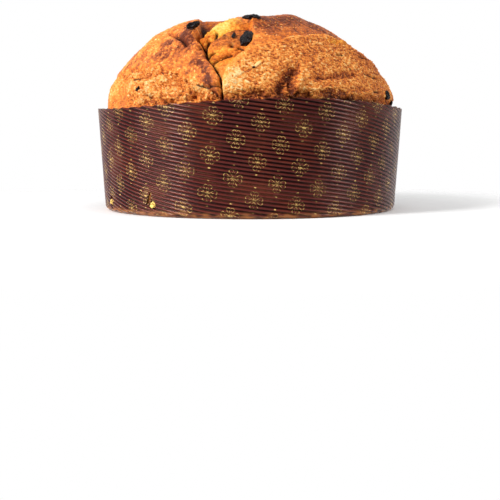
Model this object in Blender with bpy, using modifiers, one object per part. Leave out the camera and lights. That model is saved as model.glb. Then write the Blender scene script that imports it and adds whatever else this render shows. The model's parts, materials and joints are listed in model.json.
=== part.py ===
# A low panettone in its fluted paper case, at real size, in metres.
# The case stands on z = 0 and the side with the split crust faces -Y.

import math

import bmesh
import bpy
import numpy as np
from mathutils import Matrix, Vector

MM = 0.001

# paper case, measured over the crests of its flutes
BASE_RADIUS = 105 * MM
RIM_RADIUS = 108.7 * MM
CASE_HEIGHT = 70.4 * MM
# how the cut rim rises and dips: height, waves in a turn, and where they start in degrees
RIM_WAVES = ((1.15 * MM, 2, 14), (1.4 * MM, 3, -19))
CORNER_RADIUS = 3.6 * MM
FLUTE_PITCH = 2.43 * MM
FLUTE_DEPTH = 0.9 * MM
LINER = 0.4 * MM  # paper behind the flutes
CASE_FLOOR = 1.0 * MM
FLUTES_A_TURN = 55  # the flutes wind down to the right, by this many of them in a turn
FLUTE_SWAY = 4.0 * MM  # and more steeply at the left than in front
CASE_COLUMNS = 48

# loaf
DOME_RADIUS = 105.4 * MM
DOME_HEIGHT = 74.4 * MM
DOME_FOOT = 61.8 * MM
DOME_ROUNDNESS = (2.32, 1.70)  # superellipse powers, outwards and upwards
LOAF_GAP = 0.5 * MM  # between the faceted loaf and the faceted paper
LOAF_COLUMNS = 80
DOME_ROWS = 28

# raisins lie in pockets that clear them by this much
RAISIN_GAP = 0.3 * MM


def radius_at(z):
    """Radius over the flutes at a height, with the rounded corner at the foot."""
    inset = 0.0
    if z < CORNER_RADIUS:
        inset = CORNER_RADIUS - math.sqrt(CORNER_RADIUS**2 - (CORNER_RADIUS - z) ** 2)
    return BASE_RADIUS + (RIM_RADIUS - BASE_RADIUS) * z / CASE_HEIGHT - inset


def paper_inside(z):
    return radius_at(z) - FLUTE_DEPTH - LINER


def rim_height(turn):
    waves = (high * math.sin(count * (turn - math.radians(start))) for high, count, start in RIM_WAVES)
    return CASE_HEIGHT + sum(waves)


def flute_fall(turn):
    """How far a flute has come down at an angle from the front, positive to the right."""
    wound = FLUTES_A_TURN * FLUTE_PITCH * turn / (2 * math.pi)
    return wound - FLUTE_SWAY * math.sin(2 * (turn - math.radians(15)))


def around(turn, radius, z):
    """The point at an angle from the front, positive to the right."""
    return Vector((radius * math.sin(turn), -radius * math.cos(turn), z))


# Shape of the crust, on a map of the dome in degrees down from its crown: (right, front).
FLAP_EDGE = ((-19, 24), (-20, 34), (-20, 42), (-18, 51), (-18, 58), (-15, 65), (-13, 71), (-14, 75))
FLAP_FOOT = ((-14, 75), (-19, 74), (-25, 70))
LOBE_EDGE = ((-2, 24), (1, 40), (1, 51), (-2, 58), (-5, 61), (-10, 68), (-12, 74))
SPLIT_FOOT = ((-12, 74), (-13, 79), (-14, 86))
LEFT_TEAR = ((-66, 10), (-60, 30), (-49, 50), (-39, 58), (-31, 66), (-24, 71))
LOBE_FOLD = ((12, 49), (18, 45), (26, 37), (32, 34), (40, 34), (50, 29), (62, 18))
DENT_LEFT = ((18, 66), (16, 71), (14, 77))
DENT_RIGHT = ((17, 69), (18, 76))
DENT_RIDGE = ((21, 67), (20, 73), (19, 80))
LOBE_GROOVE = ((32, 63), (39, 58), (47, 50))
LEFT_CREASE = ((-30, 29), (-27, 39), (-25, 48))
BACK_SPLIT = ((16, -12), (23, -26), (22, -41), (30, -52), (28, -66), (34, -80))
BACK_FOLD = ((-48, -8), (-44, -28), (-30, -44), (-12, -52), (4, -58))
BACK_DENT = ((-38, -58), (-34, -66), (-40, -74))

# Broad swells of the dome: map place, size in degrees, height in mm.
SWELLS = (
    ((-69, 17), (8, 18), 2.9),
    ((-38, 18), (5, 14), 1.6),
    ((-21, 22), (7, 14), -1.6),
    ((-11, 12), (6, 14), -2.0),
    ((2, 12), (7, 15), -2.8),
    ((15, 16), (5, 12), 2.0),
    ((41, 12), (13, 20), -2.6),
    ((60, 20), (6, 16), -1.1),
    ((-30, -40), (16, 14), 1.6),
    ((48, -30), (14, 16), -1.4),
)


def along(path, right, front):
    """Distance in degrees from a path on the crust, and how far it lies to the path's right."""
    best = np.full(right.shape, 1e9)
    side = np.zeros(right.shape)
    for (r0, f0), (r1, f1) in zip(path, path[1:]):
        dr, df = r1 - r0, f1 - f0
        t = np.clip(((right - r0) * dr + (front - f0) * df) / (dr * dr + df * df), 0, 1)
        off_r, off_f = right - r0 - t * dr, front - f0 - t * df
        d = np.hypot(off_r, off_f)
        nearer = d < best
        best = np.where(nearer, d, best)
        side = np.where(nearer, off_r * df - off_f * dr, side)
    return best, np.sign(side) * best


def ease(x, low, high):
    t = np.clip((x - low) / (high - low), 0, 1)
    return t * t * (3 - 2 * t)


def bump(path, right, front, width):
    return np.exp(-((along(path, right, front)[0] / width) ** 2))


def spot(right, front, at, size):
    return np.exp(-(((right - at[0]) / size[0]) ** 2) - ((front - at[1]) / size[1]) ** 2)


def crust_relief(right, front, place):
    """Height of the crust over the plain dome, in millimetres."""
    down = np.hypot(right, front)
    x, y, z = place
    swell = 1.0 * np.sin(x / 17 + 1.1) * np.sin(y / 19 + 0.4) + 0.6 * np.sin(x / 9 + z / 12 + 2.0)
    swell += 0.5 * np.sin(y / 8.5 - x / 14 + z / 16)
    swell += sum(height * spot(right, front, at, size) for at, size, height in SWELLS)

    # the open split between the left flap and the right lobe
    flap, flap_side = along(FLAP_EDGE, right, front)
    lobe, lobe_side = along(LOBE_EDGE, right, front)
    inside = ease(flap_side, -0.5, 2.0) * ease(-lobe_side, -0.5, 2.5) * ease(front, 18, 26)
    inside *= 1 - ease(front, 70, 80)
    depth = 3.4 - 2.2 * ease(front, 45, 74)
    split = -depth * inside
    split += 2.6 * inside * spot(right, front, (-7, 38), (8, 16))
    split -= 6.5 * inside * spot(right, front, (-16.5, 32), (4.5, 7))
    flap_lip = 2.4 * np.exp(-((flap / 8) ** 2)) * ease(-flap_side, -0.5, 1.0)
    lobe_lip = 1.8 * np.exp(-((lobe / 7) ** 2)) * ease(lobe_side, -0.5, 1.0)
    lips = (flap_lip + lobe_lip) * ease(front, 14, 26) * (1 - ease(front, 66, 80))
    foot = -1.8 * bump(SPLIT_FOOT, right, front, 1.6) - 1.2 * bump(FLAP_FOOT, right, front, 2.0)

    # folds, tears and dents in the crust
    fold_side = along(LOBE_FOLD, right, front)[1]
    fold = 1.0 * bump(LOBE_FOLD, right, front, 5) * np.sign(-fold_side)
    tear_side = along(LEFT_TEAR, right, front)[1]
    tear = 0.8 * bump(LEFT_TEAR, right, front, 5) * np.sign(tear_side)
    dents = -2.4 * np.maximum(bump(DENT_LEFT, right, front, 2.6), bump(DENT_RIGHT, right, front, 2.2))
    dents += 1.4 * bump(DENT_RIDGE, right, front, 2.4) - 1.0 * bump(LOBE_GROOVE, right, front, 3)
    dents -= 0.8 * bump(LEFT_CREASE, right, front, 2.5)

    # the back has a split and a fold of its own
    back, back_side = along(BACK_SPLIT, right, front)
    dents += 2.2 * np.exp(-((back / 8) ** 2)) * np.sign(back_side) * (1 - ease(down, 74, 86))
    dents -= 2.4 * np.exp(-(((back_side + 2.4) / 2.4) ** 2)) * (1 - ease(down, 74, 86))
    back_side = along(BACK_FOLD, right, front)[1]
    dents += 1.1 * bump(BACK_FOLD, right, front, 5) * np.sign(back_side)
    dents -= 2.0 * bump(BACK_DENT, right, front, 3)
    details = split + lips + foot + fold + tear + dents
    return swell * (1 - ease(down, 80, 90)) + details * (1 - ease(down, 82, 90))


def dome_point(down):
    """Radius and height of the plain dome at an angle down from its crown."""
    out, up = DOME_ROUNDNESS
    radius = DOME_RADIUS * math.sin(down) ** (2 / out)
    return radius, DOME_FOOT + DOME_HEIGHT * max(math.cos(down), 0.0) ** (2 / up)


def crust_place(points):
    """Map place of points on the dome, in degrees, and the way out of it."""
    x, y, z = points[:, 0], points[:, 1], np.maximum(points[:, 2] - DOME_FOOT, 0)
    radius = np.hypot(x, y)
    down = np.degrees(np.arctan2(radius / DOME_RADIUS, z / DOME_HEIGHT))
    turn = np.arctan2(x, -y)
    way = np.stack([x / DOME_RADIUS**2, y / DOME_RADIUS**2, z / DOME_HEIGHT**2], 1)
    way /= np.linalg.norm(way, axis=1)[:, None] + 1e-12
    return down * np.sin(turn), down * np.cos(turn), way


def raised(points):
    right, front, way = crust_place(points)
    height = crust_relief(right, front, points.T / MM) * MM
    height = np.where(points[:, 2] > DOME_FOOT, height, 0.0)
    return points + way * height[:, None], way


def material(name, colour, roughness):
    made = bpy.data.materials.new(name)
    made.use_nodes = True
    shader = made.node_tree.nodes["Principled BSDF"]
    shader.inputs["Base Color"].default_value = (*colour, 1)
    shader.inputs["Roughness"].default_value = roughness
    made.diffuse_color = (*colour, 1)
    return made


def new_object(name, mesh, collection, finish=None, smooth=True):
    made = bpy.data.objects.new(name, mesh)
    collection.objects.link(made)
    if finish:
        mesh.materials.clear()
        mesh.materials.append(finish)
    for face in mesh.polygons:
        face.use_smooth = smooth
    return made


def applied(thing):
    """The object's mesh with its modifiers, in place of the one they started from."""
    shown = thing.evaluated_get(bpy.context.evaluated_depsgraph_get())
    mesh = bpy.data.meshes.new_from_object(shown)
    thing.modifiers.clear()
    thing.data = mesh
    return mesh


def boolean(thing, tools, operation, solver="EXACT"):
    cut = thing.modifiers.new(operation.lower(), "BOOLEAN")
    cut.operand_type = "COLLECTION"
    cut.collection = tools
    cut.operation = operation
    cut.solver = solver


def hidden_collection(name):
    made = bpy.data.collections.new(name)
    bpy.context.scene.collection.children.link(made)
    made.hide_render = True
    return made


def ellipsoid(name, centre, axes, sizes, collection, finish=None, segments=8, rings=6):
    """An ellipsoid of three full sizes along three axes."""
    shape = bmesh.new()
    bmesh.ops.create_uvsphere(shape, u_segments=segments, v_segments=rings, radius=0.5)
    turn = Matrix([axis.normalized() for axis in axes]).transposed().to_4x4()
    stretch = Matrix.Diagonal((*sizes, 1))
    shape.transform(Matrix.Translation(centre) @ turn @ stretch)
    mesh = bpy.data.meshes.new(name)
    shape.to_mesh(mesh)
    shape.free()
    made = new_object(name, mesh, collection, finish)
    if finish is None:
        made.display_type = "WIRE"
    return made


def paper_case(collection, finish):
    """A tube of paper whose rows of points follow the flutes, with its floor."""
    half = FLUTE_PITCH / 2
    lowest = math.floor(flute_fall(-math.pi) / half) - 2
    highest = math.ceil((flute_fall(math.pi) + CASE_HEIGHT) / half) + 4
    rows = highest - lowest
    shape = bmesh.new()
    bmesh.ops.create_grid(shape, x_segments=CASE_COLUMNS, y_segments=rows, size=1)
    for vert in shape.verts:
        turn = math.pi * vert.co.x
        row = lowest + round((vert.co.y + 1) / 2 * rows)
        z = min(max(row * half - flute_fall(turn), 0.0), rim_height(turn))
        phase = (z + flute_fall(turn)) / FLUTE_PITCH % 1
        valley = 1 - abs(2 * phase - 1)
        fade = min(z / CORNER_RADIUS, 1.0)
        vert.co = around(turn, radius_at(z) - FLUTE_DEPTH * valley * fade, z)
    bmesh.ops.remove_doubles(shape, verts=shape.verts, dist=0.04 * MM)
    foot = [e for e in shape.edges if e.is_boundary and max(v.co.z for v in e.verts) < CORNER_RADIUS]
    rim = [e for e in shape.edges if e.is_boundary and e not in foot]
    bmesh.ops.contextual_create(shape, geom=foot)
    for height in (None, CORNER_RADIUS, CASE_FLOOR):
        grown = bmesh.ops.extrude_edge_only(shape, edges=rim)["geom"]
        rim = [g for g in grown if isinstance(g, bmesh.types.BMEdge)]
        for vert in (g for g in grown if isinstance(g, bmesh.types.BMVert)):
            turn = math.atan2(vert.co.x, -vert.co.y)
            z = vert.co.z if height is None else height
            vert.co = around(turn, paper_inside(z), z)
    bmesh.ops.contextual_create(shape, geom=rim)
    bmesh.ops.recalc_face_normals(shape, faces=shape.faces)
    mesh = bpy.data.meshes.new("paper_case")
    shape.to_mesh(mesh)
    shape.free()
    return new_object("paper_case", mesh, collection, finish, smooth=False)


def loaf_profile():
    """From the crown down the dome and the side, to the middle of the bottom."""
    points = [dome_point(math.radians(90 * row / DOME_ROWS)) for row in range(DOME_ROWS + 1)]
    for z in (50 * MM, 36 * MM, 22 * MM, 8 * MM):
        points.append((paper_inside(z) - LOAF_GAP, z))
    bottom = CASE_FLOOR + LOAF_GAP
    points.append((paper_inside(bottom + 2 * MM) - LOAF_GAP, bottom + 2 * MM))
    points.append((paper_inside(bottom) - LOAF_GAP - 1.6 * MM, bottom))
    points.append((points[-1][0] / 2, bottom))
    points.append((0.0, bottom))
    return points


def loaf(collection, finish):
    """The turned loaf, with the relief of its crust."""
    profile = loaf_profile()
    mesh = bpy.data.meshes.new("loaf")
    mesh.from_pydata([(r, 0, z) for r, z in profile], [(i, i + 1) for i in range(len(profile) - 1)], [])
    made = new_object("loaf", mesh, collection)
    turned = made.modifiers.new("turn", "SCREW")
    turned.steps = turned.render_steps = LOAF_COLUMNS
    turned.use_merge_vertices = True
    turned.merge_threshold = 0.0001
    mesh = applied(made)
    points = np.empty(len(mesh.vertices) * 3)
    mesh.vertices.foreach_get("co", points)
    mesh.vertices.foreach_set("co", raised(points.reshape(-1, 3))[0].ravel())
    mesh.update()
    mesh.materials.append(finish)
    for face in mesh.polygons:
        face.use_smooth = True
    return made


def crust_frame(right, front):
    """Where a map place is on the raised crust, with the ways right, down and out there."""
    turn, down = math.atan2(right, front), math.radians(math.hypot(right, front))
    radius = DOME_RADIUS * math.sin(down)
    height = DOME_HEIGHT * math.cos(down)
    # the plain dome is fuller than an ellipse, so the place is carried out to it
    out, up = DOME_ROUNDNESS
    reach = ((radius / DOME_RADIUS) ** out + (height / DOME_HEIGHT) ** up) ** (-2 / (out + up))
    point = around(turn, radius * reach, DOME_FOOT + height * reach)
    place, way = raised(np.array([point]))
    outwards = Vector(way[0])
    across = around(turn + math.pi / 2, 1, 0)
    return Vector(place[0]), across, across.cross(outwards), outwards


# Raisins: map place, length, width and thickness in mm, lean in degrees, and how far out.
RAISINS = {
    "raisin_1": ((-1.2, 49.2), (14.0, 8.4, 7.6), 18, 1.2),
    "raisin_2": ((0.6, 33.6), (12.8, 6.4, 4.0), 84, 0.7),
    "raisin_3": ((-21.1, 38.4), (9.8, 4.8, 4.2), 46, 1.4),
    "raisin_4": ((70.0, 32.0), (7.0, 6.0, 4.6), 10, 0.6),
    "raisin_5": ((26.0, -44.0), (11.0, 8.0, 6.6), 70, 0.4),
    "raisin_6": ((-36.0, -40.0), (9.0, 6.6, 5.4), 20, 0.8),
}
SMALL_RAISINS = {
    "seen_raisin_1": ((-6.2, 46.4), (5.8, 2.8, 4.0), 8, 0.5),
    "seen_raisin_2": ((77.0, 22.5), (4.4, 3.6, 3.4), 0, 0.3),
    "seen_raisin_3": ((-52.2, 56.2), (4.0, 2.8, 3.0), 30, 0.1),
    "seen_raisin_4": ((10.0, -66.0), (5.0, 3.2, 3.4), 45, 0.3),
}

# Tears where two skewers went in at the left and came out at the back right:
# turn from the front, then height, width and tallness in mm.
SKEWER_TEARS = ((-62.8, 7.0, 3.8, 8.4), (-35.6, 7.9, 5.4, 5.4), (117.4, 7.2, 4.0, 5.0), (144.6, 7.6, 3.6, 5.6))


def raisin(name, form, collection, finish=None, swell=0.0, segments=10, rings=7):
    place, sizes, lean, lift = form
    point, across, downwards, outwards = crust_frame(*place)
    turn = Matrix.Rotation(math.radians(-lean), 3, outwards)
    axes = (turn @ downwards, turn @ across, outwards)
    full = [size * MM + 2 * swell for size in sizes]
    centre = point + outwards * lift * MM
    return ellipsoid(name, centre, axes, full, collection, finish, segments, rings)


def skewer_spot(name, turn, z, wide, tall, deep, radius, collection):
    """An ellipsoid across the paper where a skewer came through."""
    turn = math.radians(turn)
    axes = (around(turn + math.pi / 2, 1, 0), Vector((0, 0, 1)), around(turn, 1, 0))
    sizes = (wide * MM, tall * MM, deep * MM)
    return ellipsoid(name, around(turn, radius, z * MM), axes, sizes, collection)


def main():
    for thing in list(bpy.data.objects):
        bpy.data.objects.remove(thing, do_unlink=True)
    panettone = bpy.data.collections.new("panettone")
    bpy.context.scene.collection.children.link(panettone)
    paper = material("brown baking paper", (0.090, 0.022, 0.016), 0.42)
    crust = material("baked crust", (0.50, 0.20, 0.06), 0.62)
    dried = material("dried raisin", (0.012, 0.008, 0.007), 0.38)

    case = paper_case(panettone, paper)
    bread = loaf(panettone, crust)

    tears = hidden_collection("tears in the paper")
    added = hidden_collection("crumb and small raisins")
    for i, (turn, z, wide, tall) in enumerate(SKEWER_TEARS, 1):
        middle = radius_at(z * MM) - FLUTE_DEPTH
        skewer_spot(f"tear_{i}", turn, z, wide, tall, 6, middle, tears)
        skewer_spot(f"crumb_{i}", turn, z, wide - 1.4, tall - 2.2, 5.6, middle - 2.0 * MM, added)
    for name, form in SMALL_RAISINS.items():
        raisin(name, form, added, segments=8, rings=6)

    pockets = hidden_collection("raisin pockets")
    for name, form in RAISINS.items():
        raisin(name, form, panettone, dried)
        raisin(name + "_pocket", form, pockets, swell=RAISIN_GAP)

    boolean(case, tears, "DIFFERENCE", "MANIFOLD")
    boolean(bread, added, "UNION")
    boolean(bread, pockets, "DIFFERENCE")


main()
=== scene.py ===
# Looks of the low panettone in its paper case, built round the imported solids.
import json
import math
from types import SimpleNamespace

import bmesh
import bpy
import numpy as np
from mathutils import Matrix, Vector

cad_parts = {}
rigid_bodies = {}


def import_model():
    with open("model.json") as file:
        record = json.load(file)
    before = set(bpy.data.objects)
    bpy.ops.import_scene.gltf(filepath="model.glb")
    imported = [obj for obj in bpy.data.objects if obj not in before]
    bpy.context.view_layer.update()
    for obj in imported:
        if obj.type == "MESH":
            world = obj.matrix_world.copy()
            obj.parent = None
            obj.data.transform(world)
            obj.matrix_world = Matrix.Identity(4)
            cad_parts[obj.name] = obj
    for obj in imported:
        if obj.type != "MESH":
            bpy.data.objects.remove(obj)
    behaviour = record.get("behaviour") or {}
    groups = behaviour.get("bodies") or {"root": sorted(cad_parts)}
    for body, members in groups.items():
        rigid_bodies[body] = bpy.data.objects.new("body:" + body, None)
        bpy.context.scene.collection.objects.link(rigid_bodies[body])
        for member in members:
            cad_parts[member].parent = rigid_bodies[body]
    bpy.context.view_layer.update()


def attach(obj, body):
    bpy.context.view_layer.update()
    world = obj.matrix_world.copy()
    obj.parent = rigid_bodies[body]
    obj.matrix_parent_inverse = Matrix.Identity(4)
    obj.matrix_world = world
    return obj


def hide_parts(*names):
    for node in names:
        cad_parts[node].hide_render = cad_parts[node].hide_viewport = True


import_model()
mm = 0.001
print("packed solids loaded")


# Numbers and soft noise

def ease(x, low, high):
    t = np.clip((x - low) / (high - low), 0, 1)
    return t * t * (3 - 2 * t)


def grain(points, size, seed):
    # smooth noise of about -1 to 1, its lumps about as large as size, in the unit of the points
    q = points / size + 31.7 * seed
    cell = np.floor(q).astype(np.int64)
    t = q - cell
    fade = t * t * t * (t * (t * 6 - 15) + 10)
    slopes = np.random.default_rng(7).normal(size=(64, 3))
    slopes /= np.linalg.norm(slopes, axis=1)[:, None]
    total = np.zeros(len(points))
    for corner in range(8):
        step = np.array([corner & 1, corner >> 1 & 1, corner >> 2 & 1])
        at = cell + step
        key = at[:, 0] * 73856093 ^ at[:, 1] * 19349663 ^ at[:, 2] * 83492791
        key = (key ^ key >> 13) * 1274126177 & 0xFFFFFFFF
        way = slopes[(key ^ key >> 16) & 63]
        share = np.where(step, fade, 1 - fade).prod(1)
        total += share * ((t - step) * way).sum(1)
    return total * 1.7


def layered(points, size, layers, seed, keep=0.5):
    total = sum(keep**k * grain(points, size / 2**k, seed + k) for k in range(layers))
    return total / sum(keep**k for k in range(layers))


def bell(x, width):
    return np.exp(-((x / width) ** 2))


def pathSide(path, right, front):
    # distance from a path on the crust map, and the same signed: positive to the path's right
    best = np.full(right.shape, 1e9)
    side = np.zeros(right.shape)
    for (r0, f0), (r1, f1) in zip(path, path[1:]):
        dr, df = r1 - r0, f1 - f0
        t = np.clip(((right - r0) * dr + (front - f0) * df) / (dr * dr + df * df), 0, 1)
        offR, offF = right - r0 - t * dr, front - f0 - t * df
        d = np.hypot(offR, offF)
        nearer = d < best
        best = np.where(nearer, d, best)
        side = np.where(nearer, offR * df - offF * dr, side)
    return best, np.sign(side) * best


def along(at, path, shake=(0, 0)):
    # the same for places on the crust, where a path may waver right and front
    return pathSide(path, at.right + shake[0] * at.wobble, at.front + shake[1] * at.wobble)


def ridge(at, path, width, shake=(0, 0)):
    return bell(along(at, path, shake)[0], width)


def spot(at, middle, size, shake=0):
    return bell(at.right + shake * at.wobble - middle[0], size[0]) * bell(at.front - middle[1], size[1])


def spots(at, table):
    return sum(amount * spot(at, middle, size) for middle, size, amount in table)


# Meshes

def around(turn, radius, z):
    # a point at an angle from the front, positive to the right
    return Vector((radius * math.sin(turn), -radius * math.cos(turn), z))


def newObject(name, data):
    made = bpy.data.objects.new(name, data)
    bpy.context.scene.collection.objects.link(made)
    return made


def meshOf(shape, name):
    mesh = bpy.data.meshes.new(name)
    shape.to_mesh(mesh)
    shape.free()
    return mesh


def newPiece(name, mesh, material, replaced):
    piece = newObject(name, mesh)
    mesh.materials.clear()
    mesh.materials.append(material)
    mesh.update()
    mesh.polygons.foreach_set("use_smooth", np.ones(len(mesh.polygons), bool))
    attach(piece, "root")
    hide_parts(*replaced)
    return piece


def store(mesh, **values):
    # one number at each point, for the materials to read
    for name, numbers in values.items():
        layer = mesh.attributes.new(name, "FLOAT", "POINT")
        layer.data.foreach_set("value", np.asarray(numbers, np.float32))


def storeCrust(mesh, **looks):
    # the crust's looks on a small piece, 0 for each one that isn't given
    names = ("toast", "crumb", "golden", "dark", "coarse")
    none = np.zeros(len(mesh.vertices))
    store(mesh, **{name: none + looks.get(name, 0) for name in names})


def pointsOf(mesh):
    points = np.empty(len(mesh.vertices) * 3)
    mesh.vertices.foreach_get("co", points)
    return points.reshape(-1, 3)


def ringMesh(name, rings, capFirst, capLast):
    # rings of points joined side by side, closed at each end by a middle point
    rows, columns = rings.shape[:2]
    index = np.arange(rows * columns).reshape(rows, columns)
    beside = np.roll(index, -1, 1)
    quads = np.stack([index[:-1], index[1:], beside[1:], beside[:-1]], -1).reshape(-1, 4)
    first, last = np.full(columns, rows * columns), np.full(columns, rows * columns + 1)
    faces = quads.tolist() + np.stack([first, index[0], beside[0]], 1).tolist()
    faces += np.stack([last, beside[-1], index[-1]], 1).tolist()
    mesh = bpy.data.meshes.new(name)
    mesh.from_pydata([*rings.reshape(-1, 3).tolist(), capFirst, capLast], [], faces)
    return mesh


def ballMesh(name, detail):
    # an icosphere 1 across, and its points
    shape = bmesh.new()
    bmesh.ops.create_icosphere(shape, subdivisions=detail, radius=0.5)
    mesh = meshOf(shape, name)
    return mesh, pointsOf(mesh)


def placePoints(mesh, points, centre, axes):
    # moves the mesh's points to places in mm along three axes from a centre
    basis = np.array([axis.normalized() for axis in axes])
    mesh.vertices.foreach_set("co", ((points @ basis + np.array(centre)) * mm).ravel())


def lumpMesh(name, centre, axes, sizes, detail, roughness, seed):
    # a ball of three full sizes along three axes, roughened by soft noise: height and size in mm, layers
    mesh, ball = ballMesh(name, detail)
    full = ball * np.array(sizes)
    height, length, layers = roughness
    full += 2 * ball * (height * layered(full, length, layers, seed))[:, None]
    placePoints(mesh, full, centre, axes)
    return mesh


# Materials from nodes

def newMaterial(name):
    material = bpy.data.materials.new(name)
    material.use_nodes = True
    tree = material.node_tree
    return material, tree, tree.nodes["Principled BSDF"]


def plug(tree, node, inputs):
    # a socket is linked to the node's input, and a plain value is set on it
    for key, value in inputs.items():
        if isinstance(value, bpy.types.NodeSocket):
            tree.links.new(value, node.inputs[key])
        else:
            node.inputs[key].default_value = value


def put(tree, kind, inputs=None, **settings):
    node = tree.nodes.new(kind)
    for key, value in settings.items():
        setattr(node, key, value)
    plug(tree, node, inputs or {})
    return node


def calc(tree, operation, *values):
    return put(tree, "ShaderNodeMath", dict(enumerate(values)), operation=operation).outputs[0]


def times(tree, first, second):
    return calc(tree, "MULTIPLY", first, second)


def less(tree, first, second):
    return calc(tree, "SUBTRACT", first, second)


def spread(tree, value, start, end, low=0.0, high=1.0):
    # a value from start to end becomes one from low to high
    settings = {"Value": value, "From Min": start, "From Max": end, "To Min": low, "To Max": high}
    return put(tree, "ShaderNodeMapRange", settings).outputs[0]


def stored(tree, name):
    return put(tree, "ShaderNodeAttribute", attribute_name=name).outputs["Fac"]


def ramp(tree, factor, stops):
    node = put(tree, "ShaderNodeValToRGB", {"Fac": factor})
    band = node.color_ramp
    while len(band.elements) < len(stops):
        band.elements.new(0.5)
    for element, (place, colour) in zip(band.elements, stops):
        element.position = place
        element.color = (*colour, 1)
    return node.outputs["Color"]


def blendColour(tree, factor, *colours):
    first, second = (c if isinstance(c, bpy.types.NodeSocket) else (*c, 1) for c in colours)
    return put(tree, "ShaderNodeMix", {0: factor, 6: first, 7: second}, data_type="RGBA").outputs[2]


def inMillimetres(tree, stretch=(1, 1, 1)):
    place = put(tree, "ShaderNodeTexCoord").outputs["Object"]
    return put(tree, "ShaderNodeMapping", {"Vector": place, "Scale": [s / mm for s in stretch]}).outputs[0]


def noise(tree, vector, size, detail=3, roughness=0.55):
    settings = {"Vector": vector, "Scale": 1 / size, "Detail": detail, "Roughness": roughness}
    return put(tree, "ShaderNodeTexNoise", settings).outputs["Fac"]


def bump(tree, height, strength, distance, under=None):
    inputs = {"Height": height, "Strength": strength, "Distance": distance * mm}
    if under:
        inputs["Normal"] = under
    return put(tree, "ShaderNodeBump", inputs).outputs["Normal"]


# Loaf: a turned dome with the relief of its crust, worked out on a map of degrees down from the crown

loafForm = {
    "domeRadius": 105.4,
    "domeHeight": 74.4,
    "domeFoot": 61.8,
    "roundness": (2.32, 1.70),  # superellipse powers, outwards and upwards
    "rows": 168,
    "rowDetail": 0.35,  # how much closer the rows stand halfway down than on average
    "columns": 560,
    "frontDetail": 0.42,  # how much closer the columns stand in front than on average
    "pebbles": 0.75,  # height in mm of the fine crumple of the crust
    "undercut": 3.2,  # mm that the crust draws in above the paper
    "pocket": 12.0,  # depth in mm of the hollow behind the crumb in the split
    "lips": (2.4, 1.8),  # mm that the edges of the flap and of the lobe stand up
    "fold": 1.5,  # these are the step of each fold and the depth of each dent, in mm
    "tear": 0.8,
    "backSplit": 3.0,
    "dent": 5.0,
    "dentRidge": 1.9,
    "groove": 2.2,
    "crease": 1.8,
}

crustPaths = {
    "flapEdge": (
        (-19.3, 14), (-19.3, 28), (-19.5, 39), (-21.0, 42.5), (-20.6, 45.5), (-19, 49.5),
        (-18, 53), (-18, 58), (-15, 65), (-13, 71), (-14, 75),
    ),
    "lobeEdge": ((-2, 24), (1, 40), (1, 51), (-2, 58), (-5, 61), (-10, 68), (-12, 74)),
    "crumbEdge": ((-2, 16), (-6, 25), (-10.2, 32), (-15, 40), (-19, 44)),
    "patchTop": ((-17, 49), (-13, 47.5), (-9.5, 45), (-6, 42.5), (-1, 41)),
    "flapTear": (
        (-66, 8), (-61, 25), (-56, 32), (-48, 43), (-40, 50.5), (-32, 58.6), (-27.7, 65), (-21, 73),
    ),
    "lobeFold": ((10, 52), (15.4, 47.4), (20.8, 43), (26, 36.5), (30, 31.5), (36, 31), (50, 27), (62, 17)),
    "tornFold": ((32, 36.5), (35, 33.5), (39, 29.5)),
    "dentLeft": ((18.5, 65), (16, 70), (13.6, 76)),
    "dentRight": ((18, 69), (19, 75)),
    "dentRidge": ((22.5, 68), (21, 73), (18.3, 80)),
    "lobeGroove": ((29, 65.5), (38.3, 58.7), (47.2, 48.1)),
    "lowGroove": ((34, 71.5), (45, 63.5), (55, 52)),
    "leftCrease": ((-31, 28), (-28.5, 36), (-24.8, 48)),
    "backSplit": ((16, -12), (23, -26), (22, -41), (30, -52), (28, -66), (34, -80)),
    "backFold": ((-48, -8), (-44, -28), (-30, -44), (-12, -52), (4, -58)),
    "backDent": ((-38, -58), (-34, -66), (-40, -74)),
}

# cracks and slits: path, half width in degrees, depth in mm
crustCracks = (
    (((-20, 45), (-18, 52), (-18, 58), (-15, 65), (-13, 71), (-13, 75)), 0.6, 3.4),
    (((-18.4, 51), (-16.9, 48.8), (-16.0, 46.4)), 0.8, 3.4),
    (((-17.6, 57.4), (-16.3, 55.8), (-14.6, 55.0)), 0.7, 2.6),
    (((-12.0, 60.2), (-9.6, 59.4), (-7.8, 59.0)), 0.8, 3.0),
    (((-15.6, 62.0), (-13.4, 60.8)), 0.7, 2.6),
    (((-4.4, 54.6), (-2.8, 55.4)), 0.8, 2.6),
    (((-12.6, 42.2), (-13.4, 46.0)), 0.6, 2.4),
    (((-6.6, 35.5), (-3.6, 36.5)), 0.5, 1.8),
    (((-13, 73), (-13, 79), (-14, 87)), 0.5, 3.6),
    (((-14, 75), (-19, 74.6), (-24, 71.4)), 0.5, 2.6),
    (((-4, 36.2), (2, 36.0), (6, 35.4)), 0.5, 1.8),
    (((-50, 60.9), (-48.5, 64.8)), 0.40, 1.8),
    (((-42.7, 69.6), (-40.3, 74.0)), 0.45, 2.4),
    (((-54, 45), (-52, 48), (-49, 50.6)), 0.6, 1.8),
    (((47, 32.5), (49.5, 29.5)), 0.7, 2.0),
    (((52, 42), (57, 37.5), (59.5, 33)), 0.6, 1.6),
    (((60.5, 46), (64.5, 40.5)), 0.6, 1.8),
    (((36, 44.5), (38.5, 42)), 0.6, 1.2),
    (((-30.5, 30), (-28, 37), (-25.2, 47)), 0.35, 1.2),
)

# small pits: place, radius in degrees, depth in mm
crustPits = (
    ((-7.2, 52.7), 1.1, 2.6),
    ((-19.4, 52.4), 1.5, 4.0),
    ((-50, 51), 0.8, 1.6),
    ((-52.5, 48.5), 0.8, 1.6),
    ((10.5, 27), 0.6, 1.0),
    ((44, 47), 0.8, 1.2),
    ((-29, 66), 0.8, 1.2),
)

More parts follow.
